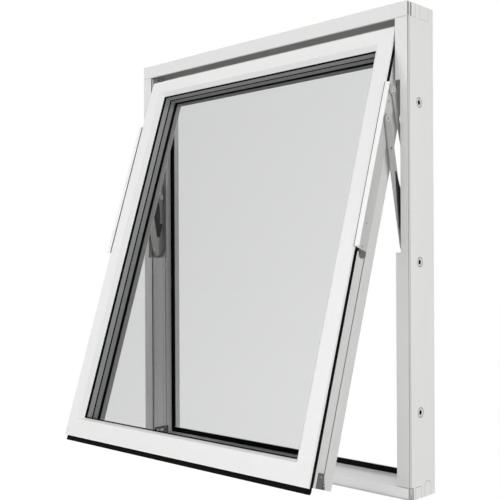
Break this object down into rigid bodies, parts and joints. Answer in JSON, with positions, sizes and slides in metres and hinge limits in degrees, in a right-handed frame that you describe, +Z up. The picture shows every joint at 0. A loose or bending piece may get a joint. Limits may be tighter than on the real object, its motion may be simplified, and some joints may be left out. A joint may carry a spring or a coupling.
{
  "type": "top-guided reversible window",
  "caption": "Aluminium-clad timber window with a glazed sash that hangs in side arms, pushed open at the foot, in a deep frame with a sloped sill.",
  "frame": {"origin": "middle of the flat underside of the frame, under the middle of the timber's depth", "axes": "+X to the right seen from outdoors, +Y into the building, +Z up"},
  "size_m": [0.99, 0.4348, 1.19],
  "materials": {
    "painted_timber": "white paint over timber",
    "coated_aluminium": "white powder coat",
    "weather_rubber": "matt black",
    "clear_glass": "clear float glass",
    "grey_spacer": "satin grey",
    "galvanised_steel": "bright zinc plate",
    "black_plastic": "matt black",
    "grey_plastic": "matt grey",
    "mill_aluminium": "mill finish",
    "dark_zinc": "dark grey zinc casting",
    "handle_metal": "satin anodised"
  },
  "bodies": {
    "root": {"frame_head": "painted_timber", "frame_sill": "painted_timber", "frame_jamb_left": "painted_timber", "frame_jamb_right": "painted_timber", "sash_stile_left": "painted_timber", "sash_stile_right": "painted_timber", "sash_top_rail": "painted_timber", "sash_bottom_rail": "painted_timber", "head_cladding": "coated_aluminium", "sill_cladding": "coated_aluminium", "jamb_cladding_left": "coated_aluminium", "jamb_cladding_right": "coated_aluminium", "sash_cladding_top": "coated_aluminium", "sash_cladding_bottom": "coated_aluminium", "sash_cladding_left": "coated_aluminium", "sash_cladding_right": "coated_aluminium", "side_covers": "coated_aluminium", "frame_gasket_head": "weather_rubber", "frame_gasket_sill": "weather_rubber", "frame_gasket_jambs": "weather_rubber", "glazing_bead_outer": "weather_rubber", "glazing_bead_inner": "weather_rubber", "sash_seal_top": "weather_rubber", "sash_seal_sides": "weather_rubber", "sash_drip_seal": "weather_rubber", "glass_outer": "clear_glass", "glass_middle": "clear_glass", "glass_inner": "clear_glass", "glass_spacers": "grey_spacer", "main_arms": "galvanised_steel", "stay_links": "galvanised_steel", "frame_plates": "galvanised_steel", "hinge_plates": "galvanised_steel", "arm_pins": "galvanised_steel", "shoe_brackets": "galvanised_steel", "lock_keeps": "galvanised_steel", "lock_rollers": "galvanised_steel", "child_catches": "black_plastic", "sill_end_caps": "grey_plastic", "guide_shoes": "grey_plastic", "fixing_sleeves": "grey_plastic", "guide_tracks": "mill_aluminium", "lock_plates": "dark_zinc", "handle_plate": "handle_metal", "handle_lever": "handle_metal"}
  },
  "joints": []
}
